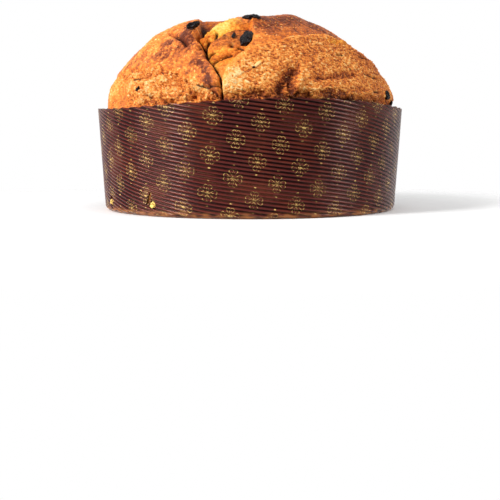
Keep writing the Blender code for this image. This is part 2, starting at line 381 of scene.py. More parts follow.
# broad swells of the dome: map place, size in degrees, height in mm
crustSwells = (
    ((-69, 17), (8, 18), 2.0),
    ((-82, 15), (9, 22), -1.0),
    ((-38, 18), (5, 14), 1.6),
    ((-21, 22), (7, 14), -1.6),
    ((-11, 12), (6, 14), -2.0),
    ((2, 12), (7, 15), -2.8),
    ((15, 16), (5, 12), 2.0),
    ((41, 12), (13, 20), -2.6),
    ((60, 20), (6, 16), -1.1),
    ((-30, -40), (16, 14), 1.6),
    ((48, -30), (14, 16), -1.4),
    ((-4, -34), (10, 8), 1.8),
    ((-58, -44), (9, 14), -1.6),
    ((60, -8), (8, 20), 1.4),
    ((2, -72), (16, 6), 1.5),
)

crustBrown = {  # from 0, pale, to 1, dark brown
    "base": 0.49,
    "cap": 0.30,
    "flap": 0.46,
    "flapPatches": (  # map place, size in degrees, share
        ((-31, 43), (8, 9), 1.0),
        ((-52, 28), (9, 14), 0.6),
        ((-22, 66), (5, 9), 0.5),
    ),
    "spots": (  # map place, size in degrees, how much browner
        ((40, 24), (22, 18), 0.14),
        ((64, 24), (14, 30), 0.03),
        ((2, 66), (12, 10), -0.08),
        ((-8, 76), (7, 9), -0.24),
        ((-4, 74), (9, 8), -0.08),
        ((-30, 72), (5, 3.5), 0.25),
    ),
    # painted shade in the dent, the groove and the crease
    "dent": 0.62,
    "groove": 0.32,
    "crease": 0.36,
    # painted shade just above the paper, under the crust's bulge
    "foot": 0.46,
    "specks": 0.48,
}


def crustRelief(right, front, place):
    # height over the plain dome in mm, and the looks of the crust: how brown (toast), how bare (crumb),
    # how yellow the bare part is (golden), how much painted shade lies in cracks and hollows (shade) and
    # how crumpled (coarse)
    at = SimpleNamespace(right=right, front=front, place=place, down=np.hypot(right, front))
    at.wobble = 0.7 * grain(place, 5.0, 3) + 0.35 * grain(place, 2.2, 13)
    height = domeSwell(at) + splitHeight(at) + foldHeight(at) + backHeight(at)
    height += crumpleHeight(at) - cutDepth(at)
    toast = browning(at)
    golden = crumbColour(at)
    coarse = 0.62 + 0.38 * at.onLobe + 0.5 * at.torn + 0.1 * at.crumb + 0.4 * ease(-front, 0, 40)
    coarse = coarse.clip(0, 1.1)
    looks = {"toast": toast, "crumb": at.crumb, "golden": golden, "dark": at.dark, "coarse": coarse}
    return height * (1 - ease(at.down, 82, 90)), looks


def domeSwell(at):
    x, y, z = at.place.T
    height = 1.0 * np.sin(x / 17 + 1.1) * np.sin(y / 19 + 0.4) + 0.6 * np.sin(x / 9 + z / 12 + 2.0)
    height += 0.5 * np.sin(y / 8.5 - x / 14 + z / 16)
    return height + spots(at, crustSwells)


def splitHeight(at):
    # the open split between the left flap and the right lobe
    front, way, size = at.front, crustPaths, loafForm
    flap, at.flapSide = along(at, way["flapEdge"], (1, 0))
    lobe, at.lobeSide = along(at, way["lobeEdge"], (0.6, 0))
    farEnd = 16 * ((at.right + 11) / 9) ** 4 - 7 + 2 * at.wobble
    inside = ease(at.flapSide, -0.3, 0.7) * ease(-at.lobeSide, -0.4, 1.2) * ease(front - farEnd, -1, 2.5)
    inside *= 1 - ease(front, 68, 80)
    height = -(1.6 + 1.8 * ease(front, 16, 34) - 2.2 * ease(front, 45, 74)) * inside
    height += 2.6 * inside * spot(at, (-7, 38), (8, 16))
    # crumb stretched across it, a pocket behind the crumb, and a tongue of crumb at the lobe's top
    at.crumbSide = along(at, way["crumbEdge"], (1.2, 1))[1]
    at.behindCrumb = inside * ease(-at.crumbSide, -0.3, 0.7)
    height -= at.behindCrumb * (size["pocket"] * spot(at, (-16, 34), (6.5, 9)) + 2.0 * ease(front, 8, 18))
    height += 1.6 * inside * bell(at.crumbSide, 4) * ease(at.crumbSide, -0.6, 0.6) * ease(front, 12, 22)
    at.tongue = spot(at, (-0.4, 36.6), (5.0, 1.4))
    height += 2.4 * at.tongue
    # a skin of crust left over the crumb, with a lip along its top
    at.patchSide = -along(at, way["patchTop"], (0.7, 0.7))[1]
    at.patchReach = inside * ease(at.right, -18, -14) * (1 - ease(front, 55, 60))
    height += 1.2 * inside * spot(at, (-8, 52), (8, 7))
    height += 1.3 * at.patchReach * bell(at.patchSide, 2.4) * ease(at.patchSide, -0.25, 0.25)
    height -= 0.9 * at.patchReach * bell(at.patchSide + 0.7, 0.7)
    flapLip, lobeLip = size["lips"]
    lips = flapLip * bell(flap, 8) * ease(-at.flapSide, -0.3, 0.9)
    lips += lobeLip * bell(lobe, 7) * ease(at.lobeSide, -0.4, 1.0)
    at.inside = inside
    return height + lips * ease(front, 14, 26) * (1 - ease(front, 66, 80))


def foldHeight(at):
    # the lobe's fold, the flap's tear, and the dent and wrinkles low on the lobe
    way, size = crustPaths, loafForm
    at.foldSide = along(at, way["lobeFold"], (0.4, 0))[1]
    at.foldReach = ease(at.right, 8, 15) * (1 - ease(at.right, 54, 64))
    height = size["fold"] * bell(at.foldSide, 5) * (2 * ease(-at.foldSide, -0.35, 0.35) - 1) * at.foldReach
    at.tornEdge = np.clip(1.5 * ridge(at, way["tornFold"], 1.7, (1, 0)), 0, 1)
    height += 2.2 * at.tornEdge * np.clip(grain(at.place, 2.6, 5) + 0.2, -0.7, 0.8)
    at.tearSide = along(at, way["flapTear"], (1.6, 1.6))[1]
    height += size["tear"] * ridge(at, way["flapTear"], 5) * np.tanh(at.tearSide / 0.9)
    at.dent = np.maximum(ridge(at, way["dentLeft"], 2.5, (1, 0)), ridge(at, way["dentRight"], 1.9, (1, 0)))
    at.groove = ridge(at, way["lobeGroove"], 1.6, (0, 1)) + 0.5 * ridge(at, way["lowGroove"], 1.3, (0, 1))
    at.crease = ridge(at, way["leftCrease"], 0.9, (0.4, 0))
    height += size["dentRidge"] * ridge(at, way["dentRidge"], 1.9)
    return height - size["dent"] * at.dent - size["groove"] * at.groove - size["crease"] * at.crease


def backHeight(at):
    # the back has a split, a fold and a dent of its own
    way, size = crustPaths, loafForm
    back, backSide = along(at, way["backSplit"], (1, 1))
    reach = 1 - ease(at.down, 74, 86)
    height = size["backSplit"] * bell(back, 8) * np.tanh(backSide / 1.2) * reach * ease(at.down, 12, 22)
    at.opened = bell(backSide + 2.2, 2.2) * reach * ease(at.down, 14, 24)
    foldSide = along(at, way["backFold"], (1, 0))[1]
    height += 2.0 * ridge(at, way["backFold"], 5) * np.tanh(foldSide / 0.8)
    return height - 2.4 * at.opened - 2.0 * ridge(at, way["backDent"], 3)


def crumpleHeight(at):
    # the torn band low at the left, where the crust opened as the loaf rose, and one like it behind
    right, front, place = at.right, at.front, at.place
    at.band = ease(-at.tearSide, -1.0, 1.5) * ease(-right, 12.5, 15) * ease(front, -20, 20)
    behind = ease(at.down, 62, 74) * ease(-front, 20, 50) * ease(-right, -20, 10)
    at.torn = np.clip(at.band * (1 - 0.85 * ease(-right, 54, 68)) + 0.8 * behind, 0, 1)
    # fine crumple: pebbled on the stretched lobe, torn on the band, soft on the flap
    bare = at.inside * (1 - 0.8 * ease(front, 60, 74)) + 0.9 * at.opened
    at.crumb = np.clip(bare + 0.8 * at.tornEdge + 0.8 * at.tongue, 0, 1)
    flat = place * np.array([0.8, 0.8, 1.5])
    pebbles = 0.6 * layered(flat, 3.0, 3, 11, 0.7) + 0.2 - 0.8 * np.abs(grain(flat, 2.3, 12))
    ripple = 1.1 * grain(flat, 1.3, 21)
    at.onLobe = ease(at.lobeSide, -1, 7) * ease(-at.foldSide, -1, 3) * ease(front, -30, 10)
    rough = 0.42 + 0.58 * at.onLobe + 0.8 * at.torn + 0.12 * at.crumb + 0.4 * ease(-front, 0, 40)
    at.fine = rough * (pebbles + ripple)
    plates = 3.4 * layered(place * np.array([0.7, 0.7, 1.5]) + 0.8 * at.wobble[:, None], 9.0, 3, 31)
    at.plateEdge = ease(plates - np.floor(plates), 0.62, 1.0)
    at.plates = (np.floor(plates) + at.plateEdge).clip(-2, 2)
    creases = 0.4 - 2 * np.abs(layered(flat, 5.0, 2, 33))
    return loafForm["pebbles"] * at.fine + at.torn * (1.3 * at.plates + 1.8 * creases)


def cutDepth(at):
    # just above the paper the crust bulges over its own foot
    right, place = at.right, at.place
    at.foot = ease(at.down + 1.5 * grain(place, 7, 18), 76.5, 81.5)
    at.foot *= (0.8 + 0.5 * grain(place, 9, 17)) * (1 - 0.7 * at.band)
    depth = loafForm["undercut"] * at.foot * (1 + 0.5 * ease(right, 5, 20))
    # cracks and pits, and painted shade in them, in the pocket and in the gap above the paper
    dark = np.zeros(len(place))
    for path, width, deep in crustCracks:
        cut = ridge(at, path, width, (0.3, 0.3))
        depth += deep * cut
        dark = np.maximum(dark, ease(cut, 0.28, 0.72))
    for middle, radius, deep in crustPits:
        hole = spot(at, middle, (radius, radius), 0.5)
        depth += deep * hole
        dark = np.maximum(dark, ease(hole, 0.3, 0.9))
    # painted shade deep in the pocket behind the crumb
    pocketShade = at.behindCrumb * spot(at, (-19.4, 31), (3.6, 12))
    # painted shade in the gap under the crust's bulge, just above the paper
    gapShade = ease(at.down + 1.3 * grain(place, 4.5, 19), 79.2, 81.4)
    gapShade *= ease(right, 8, 24) * (1 - ease(right, 60, 72))
    at.dark = np.maximum.reduce([dark, np.clip(1.7 * pocketShade, 0, 1), 0.8 * gapShade])
    return depth


def browning(at):
    # the flap and the cap are darkest, the stretched places palest
    front, place, share = at.front, at.place, crustBrown
    at.mottle = layered(place, 13, 3, 41)
    at.smallMottle = layered(place, 3.6, 2, 45)
    toast = share["base"] + 0.18 * at.mottle + 0.16 * at.smallMottle
    toast += spots(at, share["spots"])
    onFlap = ease(-at.flapSide, 0, 1) * ease(at.tearSide, -1, 2) * ease(front, -40, 10)
    blotch = ease(at.mottle + 0.5 * at.smallMottle, -0.25, 0.45)
    nearEdge = bell(at.flapSide + 3.5, 5.0) * ease(front, 20, 34)
    patches = np.clip(0.6 * nearEdge + spots(at, share["flapPatches"]), 0, 1)
    toast += onFlap * share["flap"] * patches * (0.25 + 0.75 * blotch)
    toast += onFlap * (0.07 + 0.24 * nearEdge - 0.12 * (1 - blotch))
    onCap = ease(at.foldSide, -0.4, 1.5) * spot(at, (20, 24), (26, 20))
    toast += onCap * (share["cap"] + 0.24 * at.mottle + 0.14 * at.smallMottle)
    toast += 0.36 * ease(at.lobeSide, 0, 1.2) * ease(at.foldSide, -2, 1) * spot(at, (6, 36), (8, 12))
    # painted shade browns the dent, the grooves and the crease
    toast += share["dent"] * at.dent + share["groove"] * at.groove + share["crease"] * at.crease
    # browner at the foot as painted shade above the paper; browner behind and paler on the band
    toast += share["foot"] * np.clip(at.foot, 0, 1) + 0.10 * ease(-front, 0, 40) - 0.06 * at.band
    behind = ease(-front, 0, 20) * ease(layered(place, 24, 3, 43), 0.05, 0.5) * (1 - ease(at.down, 60, 76))
    # the thin pale line along the lobe's fold is a painted highlight on its edge
    toast += 0.34 * behind - 0.20 * bell(at.foldSide + 0.5, 0.6) * at.foldReach
    # painted light and shade on the crumple: peaks paler, as also where it flaked, hollows brown; on the
    # torn band the raised plates are paler
    toast -= 0.40 * at.fine * (0.5 + 0.5 * at.onLobe)
    toast -= at.torn * (0.03 + 0.14 * at.plates + at.plateEdge * (1 - at.plateEdge))
    specks = ease(grain(place, 1.5, 47), 0.42, 0.62) + 0.7 * ease(grain(place, 2.6, 49), 0.5, 0.7)
    toast -= share["specks"] * np.clip(specks, 0, 1) * (0.3 + 0.7 * onFlap)
    # the skin of crust left in the split covers the crumb there
    skin = at.patchReach * ease(at.patchSide, -0.2, 0.3) * ease(at.mottle, -0.9, -0.2)
    at.skin = skin * (1 - ease(front + 3 * at.mottle, 50, 58))
    at.crumb = at.crumb * (1 - 0.85 * at.skin)
    return toast + at.skin * (0.22 + 0.16 * at.smallMottle + 0.2 * bell(at.patchSide, 0.9))


def crumbColour(at):
    # the bare part is yellow at the top of the split, brown round the raisin and orange below
    right, front, small = at.right, at.front, at.smallMottle
    golden = 0.42 + 0.48 * ease(at.crumbSide, -0.5, 0.8) * spot(at, (-11, 32), (7, 15))
    golden += 0.12 * ease(front, 58, 64) - 0.16 * ease(front, 54, 60) - 0.15 * at.skin
    golden -= 0.12 * spot(at, (-2, 38), (6, 7)) + 0.22 * spot(at, (-17.5, 45.5), (4, 4))
    golden -= 0.12 * ease(right, -9, -4) * (1 - ease(front, 40, 46))
    # painted shade in the pocket behind the crumb, lighter orange toward its upper wall
    pocketWallShade = 0.02 + 0.22 * spot(at, (-13.5, 12), (6, 12)) + 0.22 * small + 0.12 * at.mottle
    golden += (pocketWallShade - golden) * at.behindCrumb * (1 - ease(front, 42, 46))
    # painted light and shade: the bare crumb is yellower on the peaks of its crumple and browner in the
    # hollows
    golden += 0.36 * at.fine + 0.26 * small * (1 - at.behindCrumb)
    golden = np.where(at.opened > 0.3, 0.45 + 0.2 * small, golden)
    return np.where(at.tornEdge > 0.3, 0.45 + 0.2 * at.fine, golden)


def crustPlace(points):
    # map place of points on the dome, in degrees, and the way out of it; points in mm
    across, tall = loafForm["domeRadius"], loafForm["domeHeight"]
    x, y, z = points[:, 0], points[:, 1], np.maximum(points[:, 2] - loafForm["domeFoot"], 0)
    down = np.degrees(np.arctan2(np.hypot(x, y) / across, z / tall))
    turn = np.arctan2(x, -y)
    way = np.stack([x / across**2, y / across**2, z / tall**2], 1)
    way /= np.linalg.norm(way, axis=1)[:, None] + 1e-12
    return down * np.sin(turn), down * np.cos(turn), way


def crustFrames(right, front):
    # map places on the raised crust in mm, with the ways right, down and out there
    size = loafForm
    turn, down = np.arctan2(right, front), np.radians(np.hypot(right, front))
    out, up = size["roundness"]
    radius, height = np.sin(down), np.cos(down)
    reach = (radius**out + height**up) ** (-2 / (out + up))
    level = size["domeFoot"] + height * reach * size["domeHeight"]
    radius = radius * reach * size["domeRadius"]
    points = np.stack([radius * np.sin(turn), -radius * np.cos(turn), level], 1)
    right, front, outwards = crustPlace(points)
    raised = points + outwards * crustRelief(right, front, points)[0][:, None]
    across = np.stack([np.cos(turn), np.sin(turn), 0 * turn], 1)
    return raised, across, np.cross(across, outwards), outwards


def crustFrame(place, lean):
    # one place on the raised crust in mm, and the axes of a piece that leans there: long, wide and out
    right, front = np.array([place]).T
    point, across, downwards, outwards = (Vector(found[0]) for found in crustFrames(right, front))
    tilt = Matrix.Rotation(math.radians(-lean), 3, outwards)
    return point, (tilt @ downwards, tilt @ across, outwards)


def makeLoaf(material):
    size = loafForm
    out, up = size["roundness"]
    step = np.linspace(0, 1, size["rows"])
    step = step + size["rowDetail"] * np.sin(2 * math.pi * step) / (2 * math.pi)
    down = np.radians(0.5 + 89.5 * step)
    radius = size["domeRadius"] * np.sin(down) ** (2 / out)
    height = size["domeFoot"] + size["domeHeight"] * np.cos(down) ** (2 / up)
    # its side stands just inside the paper, down to the rounded foot
    side = [(caseInside(z) - 0.35, z) for z in (56.0, 48.0, 36.0, 22.0, 6.0)]
    side += [(caseInside(3.0) - 0.6, 2.6), (caseInside(2.0) - 3.0, 1.5), (60.0, 1.5)]
    radius = np.append(radius, [r for r, z in side])
    height = np.append(height, [z for r, z in side])
    even = np.linspace(-math.pi, math.pi, size["columns"], endpoint=False)
    turn = even - size["frontDetail"] * np.sin(even + 0.15)
    radius, height = radius[:, None], height[:, None]
    rings = np.stack([radius * np.sin(turn), -radius * np.cos(turn), height + 0 * turn], -1)
    points = rings.reshape(-1, 3)
    right, front, way = crustPlace(points)
    lift, looks = crustRelief(right, front, points)
    lift = np.where(points[:, 2] > size["domeFoot"], lift, 0)
    # painted shade on the crust behind the tears in the paper
    for turned, z, *_ in tearForms.values():
        hole = around(math.radians(turned), caseForm["footRadius"], z)
        away = np.hypot(points[:, 0] - hole.x, points[:, 1] - hole.y)
        behind = (1 - ease(away, 5, 8)) * (1 - ease(np.abs(points[:, 2] - z), 6, 10))
        looks["dark"] = np.maximum(looks["dark"], behind)
    rings = (points + way * lift[:, None]).reshape(rings.shape)
    crown = rings[0].mean(0)
    mesh = ringMesh("loafCrust", rings * mm, crown * mm, np.array([0, 0, 1.5 * mm]))
    store(mesh, **{name: np.append(values, [values[0], values[-1]]) for name, values in looks.items()})
    mesh.validate()
    newPiece("loafCrust", mesh, material, ["loaf"])


crustFinish = {
    "skin": (  # pale where it stretched or flaked, to dark brown
        (0.00, (0.96, 0.66, 0.30)),
        (0.25, (0.94, 0.40, 0.085)),
        (0.50, (0.76, 0.205, 0.030)),
        (0.75, (0.42, 0.102, 0.026)),
        (1.00, (0.13, 0.025, 0.008)),
    ),
    "bare": (  # brown orange to yellow crumb
        (0.00, (0.25, 0.038, 0.003)),
        (0.35, (0.72, 0.18, 0.016)),
        (0.65, (0.88, 0.42, 0.050)),
        (1.00, (0.92, 0.64, 0.17)),
    ),
    # near black, the painted shade in cracks, pits, the pocket and the gaps
    "crackShade": (0.030, 0.006, 0.003),
    "mottle": (6.0, 0.4),  # size in mm and share of the broad colour change
    # the hollows' browning is painted shade on the fine relief
    "relief": (  # size in mm, depth in mm, and how much browner its hollows are
        (1.7, 1.3, 1.1),
        (0.7, 0.7, 1.2),
    ),
    "shine": 0.12,
    "roughness": (0.50, 0.31),  # where it is pale, and where it is brown
}


def crustMaterial():
    material, tree, shader = newMaterial("baked crust")
    finish, coarse = crustFinish, stored(tree, "coarse")
    flat = inMillimetres(tree, (0.8, 0.8, 1.25))
    size, share = finish["mottle"]
    browner = times(tree, less(tree, noise(tree, flat, size, 3, 0.6), 0.5), share)
    normal = None
    for size, depth, brown in finish["relief"]:
        grains = times(tree, less(tree, noise(tree, flat, size, 2, 0.6), 0.5), coarse)
        normal = bump(tree, grains, 1.0, depth, normal)
        # painted light and shade: the bump's hollows browner, its peaks paler
        browner = less(tree, browner, times(tree, grains, brown))
    toasted = calc(tree, "ADD", stored(tree, "toast"), browner)
    inner = less(tree, stored(tree, "golden"), times(tree, browner, 0.7))
    skin, bare = ramp(tree, toasted, finish["skin"]), ramp(tree, inner, finish["bare"])
    colour = blendColour(tree, stored(tree, "crumb"), skin, bare)
    # painted shade is blended over the colour where the shade look is stored
    plug(tree, shader, {
        "Base Color": blendColour(tree, stored(tree, "dark"), colour, finish["crackShade"]),
        "Specular IOR Level": finish["shine"],
        "Roughness": spread(tree, toasted, 0.2, 0.8, *finish["roughness"]),
        "Normal": normal,
    })
    return material


# Flakes: thin curled scales that lift from the crust, and one larger sliver of almond

flakeForm = {
    "count": 2000,
    "length": (0.5, 1.3),  # mm
    "width": (0.55, 0.8),  # as a share of the length
    "thick": 0.32,
    "almond": ((3.2, 65.8), (9.4, 2.1, 1.1), 46, 0.5),  # map place, sizes, lean, how far out
}


def makeFlakes(material):
    size = flakeForm
    draw = np.random.default_rng(11)
    scale, ball = ballMesh("scale", 2)
    corners = np.array([face.vertices[:] for face in scale.polygons])
    bpy.data.meshes.remove(scale)
    down = np.degrees(np.arccos(1 - draw.random(size["count"] * 3) * 0.93))
    turn = draw.normal(0.15, 1.35, len(down))
    right, front = down * np.sin(turn), down * np.cos(turn)
    # none on the crown, in the split or at the paper, and few on the flap
    keep = (down > 20) & (down < 82)
    keep &= ~((right > -21) & (right < 0) & (front > 15) & (front < 58))
    onFlap = (pathSide(crustPaths["flapTear"], right, front)[1] > 0) & (right < -12) & (front > 0)
    keep &= ~onFlap | (draw.random(len(down)) < 0.3)
    right, front = right[keep][:size["count"]], front[keep][:size["count"]]
    points, across, downwards, outwards = crustFrames(right, front)
    many = len(points)
    length = size["length"][0] + (size["length"][1] - size["length"][0]) * draw.random(many) ** 2.2
    width = length * draw.uniform(*size["width"], many)
    lean = draw.normal(0, 0.6, many)[:, None]
    ahead = across * np.cos(lean) + downwards * np.sin(lean)
    beside = downwards * np.cos(lean) - across * np.sin(lean)
    curl = draw.uniform(-0.1, 0.2, many)
    x, y, z = ball.T
    lengthwise, wide = np.outer(length, x), np.outer(width, y)
    up = size["thick"] * z * (1.3 - 1.6 * np.abs(x)) + np.outer(curl * length, 1.2 * x * x + x)
    made = points[:, None] + lengthwise[..., None] * ahead[:, None] + wide[..., None] * beside[:, None]
    made += (up + 0.1)[..., None] * outwards[:, None]
    faces = corners[None] + len(ball) * np.arange(many)[:, None, None]
    mesh = bpy.data.meshes.new("crustFlakes")
    mesh.from_pydata((made.reshape(-1, 3) * mm).tolist(), [], faces.reshape(-1, 3).tolist())
    storeCrust(mesh, toast=np.repeat(draw.uniform(0.1, 0.6, many), len(ball)))
    newPiece("crustFlakes", mesh, material, ["loaf"])


def makeAlmondSliver(material):
    place, sizes, lean, lift = flakeForm["almond"]
    point, axes = crustFrame(place, lean)
    mesh = lumpMesh("almondSliver", point + axes[2] * lift, axes, sizes, 5, (0.18, 1.5, 2), 3)
    lengthwise = (pointsOf(mesh) / mm - np.array(point)) @ np.array(axes[0])
    # its lower end carries painted shade
    storeCrust(mesh, toast=0.12 + 0.25 * ease(-lengthwise, 1.0, 3.4), dark=ease(lengthwise, 2.4, 3.2))
    newPiece("almondSliver", mesh, material, ["loaf"])


# Paper case: a tube whose points follow the flutes, plain inside

caseForm = {
    "footRadius": 105.0,
    "rimRadius": 108.7,
    "height": 70.4,
    "rimWaves": ((1.15, 2, 14), (1.4, 3, -19)),  # height in mm, waves in a turn, start in degrees
    "corner": 3.6,  # radius in mm of the foot
    "flutePitch": 2.43,
    "fluteDepth": 1.1,
    "liner": 0.2,
    "floor": 1.0,
    "inside": (0.0, 1.2, 5.0, 14.0),  # steps in mm from the rim down the plain inner sheet
    "flutesATurn": 55,
    "fluteSway": 4.0,
    "rimTeeth": 0.35,  # mm that a flute's crest lifts the cut rim
    "columns": 400,
    "rowsAFlute": 7,
    "valleyShape": 2.2,  # above 1, the crests are broader than the valleys
    "dents": 0.35,  # mm that the wall wanders in and out
    "seam": 0.5,  # mm that the overlap at the back stands out
    "ragged": 0.16,  # mm that the cut rim wavers
    "pleats": 96,
    "underside": (  # reach from the middle, height and pleat height, in mm
        (99.6, 0.0, 0.0),
        (97.5, 0.05, 0.35),
        (90.0, 0.10, 0.30),
        (83.0, 0.15, 0.15),
        (82.4, 0.60, 0.0),
        (60.0, 0.70, 0.0),
    ),
}


def caseRadius(z):
    size = caseForm
    low = np.clip(size["corner"] - z, 0, size["corner"])
    inset = size["corner"] - np.sqrt(size["corner"] ** 2 - low**2)
    return size["footRadius"] + (size["rimRadius"] - size["footRadius"]) * z / size["height"] - inset


def caseInside(z):
    return caseRadius(z) - caseForm["fluteDepth"] - caseForm["liner"]


def fluteFall(turn):
    # how far a flute has come down at an angle from the front, positive to the right
    wound = caseForm["flutesATurn"] * caseForm["flutePitch"] * turn / (2 * math.pi)
    return wound - caseForm["fluteSway"] * np.sin(2 * (turn - math.radians(15)))


def valleyAt(turn, z, power):
    # 0 on a flute's crest, 1 in the valley between two
    phase = (z + fluteFall(turn)) / caseForm["flutePitch"]
    return (0.5 - 0.5 * np.cos(2 * math.pi * phase)) ** power


def onSheet(turn, z):
    # points on the unrolled sheet in mm
    return np.stack([turn * 108, z, 0 * z], -1).reshape(-1, 3)


def rimAt(turn):
    # the cut edge wavers, and stands up a little where a flute's crest runs out over it
    size = caseForm
    waves = [high * np.sin(count * (turn - math.radians(start))) for high, count, start in size["rimWaves"]]
    height = size["height"] + sum(waves)
    edge = size["rimTeeth"] * (1 - 2 * valleyAt(turn, height, 1))
    edge += size["ragged"] * layered(onSheet(turn, 0 * turn), 2.4, 2, 9)
    return height + edge * np.cos(turn / 2) ** 2


def sheetRadius(turn, z):
    # radius of the fluted sheet, a little uneven away from its glued overlap at the back
    size, sheet = caseForm, onSheet(turn, z)
    front = np.cos(turn / 2) ** 2
    uneven = 1 + 0.14 * front * grain(sheet * np.array([0.3, 1, 1]), 8, 4).reshape(z.shape)
    dented = size["dents"] * front * ease(z, 4, 20) * layered(sheet, 30, 2, 6).reshape(z.shape)
    overlap = size["seam"] * ease(turn, math.radians(171.4), math.radians(171.9)) * (turn < 3.1415)
    flute = size["fluteDepth"] * valleyAt(turn, z, size["valleyShape"]) * uneven
    return caseRadius(z) - flute * ease(z, 0, size["corner"]) + dented + overlap


def makeCase(material, cutters):
    size = caseForm
    step = size["flutePitch"] / size["rowsAFlute"]
    turn = np.linspace(-math.pi, math.pi, size["columns"] + 1)
    turn = np.insert(turn, -1, math.pi - math.radians(0.12))
    fall = fluteFall(turn)
    rows = np.arange(math.floor(fall[0] / step) - 2, math.ceil((fall[-1] + size["height"]) / step) + 14)
    z = np.clip(rows[:, None] * step - fall, 0, rimAt(turn))
    radius = sheetRadius(turn + 0 * z, z)
    points = np.stack([radius * np.sin(turn), -radius * np.cos(turn), z], -1) * mm
    shape = bmesh.new()
    grid = [[shape.verts.new(p) for p in row] for row in points]
    for low, high in zip(grid, grid[1:]):
        for a, b, c, d in zip(low, low[1:], high[1:], high):
            shape.faces.new((a, b, c, d))
    bmesh.ops.remove_doubles(shape, verts=shape.verts, dist=0.015 * mm)
    loose = [e for e in shape.edges if e.is_boundary]
    foot = [e for e in loose if max(v.co.z for v in e.verts) < size["corner"] * mm]
    top = [e for e in loose if min(v.co.z for v in e.verts) > size["height"] / 2 * mm]
    # the cut rim, the plain inner sheet and the floor inside
    for drop in size["inside"]:
        sharp = drop <= size["inside"][1]
        top = growRing(shape, top, lambda angle, z: around(angle, caseInside(z - drop), z - drop), sharp)
    for z in (size["corner"], size["floor"]):
        top = growRing(shape, top, lambda angle, _: around(angle, caseInside(z), z), z == size["floor"])
    bmesh.ops.contextual_create(shape, geom=top)
    # underneath, the paper is folded in over a round base
    for reach, height, pleat in size["underside"]:
        foot = growRing(shape, foot, lambda angle, _: around(angle, reach, height + pleat * pleatAt(angle)))
    bmesh.ops.contextual_create(shape, geom=foot)
    bmesh.ops.recalc_face_normals(shape, faces=shape.faces)
    case = newPiece("paperCase", meshOf(shape, "paperCase"), material, ["paper_case"])
    cut = case.modifiers.new("skewer tears", "BOOLEAN")
    cut.operand_type = "COLLECTION"
    cut.collection = cutters
    cut.solver = "MANIFOLD"
    case.data = bpy.data.meshes.new_from_object(case.evaluated_get(bpy.context.evaluated_depsgraph_get()))
    case.modifiers.clear()
    for cutter in list(cutters.objects):
        bpy.data.objects.remove(cutter)
    storePrint(case.data)


def growRing(shape, edges, placeAt, sharp=False):
    # draws out a ring of edges and sets its new points by their angle and old height
    for edge in edges:
        edge.smooth = edge.smooth and not sharp
    grown = bmesh.ops.extrude_edge_only(shape, edges=edges)["geom"]
    for vert in (g for g in grown if isinstance(g, bmesh.types.BMVert)):
        vert.co = placeAt(math.atan2(vert.co.x, -vert.co.y), vert.co.z / mm) * mm
    return [g for g in grown if isinstance(g, bmesh.types.BMEdge)]


def pleatAt(angle):
    return abs(math.sin(angle * caseForm["pleats"] / 2 + 2.0 * math.sin(3 * angle)))


def storePrint(mesh):
    # where each point lies on the printed sheet, how deep in a flute, and how scuffed
    size = printForm
    x, y, z = (pointsOf(mesh) / mm).T
    turn = np.arctan2(x, -y)
    degrees = np.degrees(turn)
    # the sheet was wound a little unevenly
    up = z + fluteFall(turn) - 1.6 * np.sin(turn) ** 2 + 0.5 - size["firstHeight"]
    uneven = 1.7 * bell(degrees + 4, 17) - 0.25
    across = (degrees - uneven - size["firstTurn"] - size["lean"] * up) * size["mmADegree"]
    outside = ease(np.hypot(x, y), caseInside(z) + 0.1, caseInside(z) + 0.35)
    worn = ease(layered(onSheet(turn, z) * np.array([0.5, 1.6, 1]), 3.0, 3, 51), -0.25, 0.35)
    scuff = worn * (1 - ease(z, 1.0, 5.2)) * ease(z, -0.1, 0.3)
    store(mesh, printAcross=across, printUp=up, valley=valleyAt(turn, z, 1.4) * outside,
          outside=outside * ease(z, 0.4, 1.5), scuff=scuff)


# Gold print: heart-petalled rosettes in staggered rows, fading into painted shade in the valleys of the
# flutes

printForm = {
    "firstTurn": -12.9,  # degrees from the front
    "firstHeight": 60.8,
    "lean": 0.0457,  # degrees across for each mm up
    "mmADegree": 1.88,
    "halfAcross": 14.18,
    "halfUp": 11.64,
    "petalMiddle": (4.3, 1.15),
    "petalRound": 1.25,
    "petalSlope": 38,
    "line": 0.14,
    "heart": 0.7,
    "dot": 0.38,
    "dotsAt": 7.8,
}

paperFinish = {
    # darker into the valleys: painted shade in the flutes
    "plain": (  # from the crests down into the valleys
        (0.00, (0.100, 0.016, 0.013)),
        (0.30, (0.062, 0.009, 0.008)),
        (0.62, (0.016, 0.002, 0.002)),
        (1.00, (0.005, 0.0005, 0.001)),
    ),
    # also darker into the valleys, as painted shade
    "soaked": (
        (0.00, (0.135, 0.025, 0.013)),
        (0.30, (0.090, 0.015, 0.008)),
        (0.62, (0.028, 0.003, 0.003)),
        (1.00, (0.010, 0.001, 0.001)),
    ),
    "inside": (0.16, 0.065, 0.035),
    "scuffed": (0.33, 0.12, 0.035),
    "gold": (0.72, 0.48, 0.15),
    "shine": 0.30,
    "sheen": (1.0, 0.62, 0.54, 1.0),  # the warm cast of light glancing off the paper
    "roughness": (0.08, 0.22),
}


